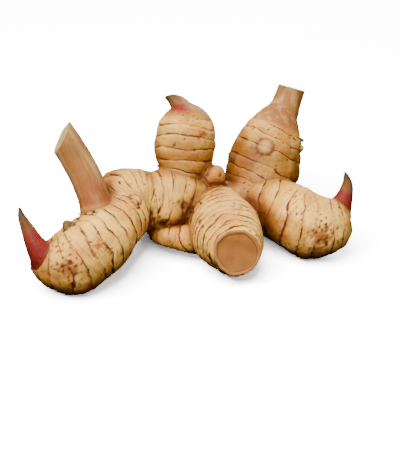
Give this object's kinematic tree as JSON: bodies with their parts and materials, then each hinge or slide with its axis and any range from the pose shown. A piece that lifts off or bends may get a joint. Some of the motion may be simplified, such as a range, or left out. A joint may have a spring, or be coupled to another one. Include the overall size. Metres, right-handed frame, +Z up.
{
  "type": "galangal root",
  "caption": "Whole branched galangal rhizome with ringed skin, rounded fingers, cut stem stubs and pink shoots, lying on its fingers.",
  "frame": {"origin": "on the table plane, under the middle of the root's bounding box", "axes": "+X along the longest extent, from the left finger to the right finger; +Z up from the table; -Y towards the cut end of the front finger"},
  "size_m": [0.1535, 0.1086, 0.0683],
  "materials": {
    "root_skin": null
  },
  "bodies": {
    "root": {"galangal_root": "root_skin"}
  },
  "joints": []
}
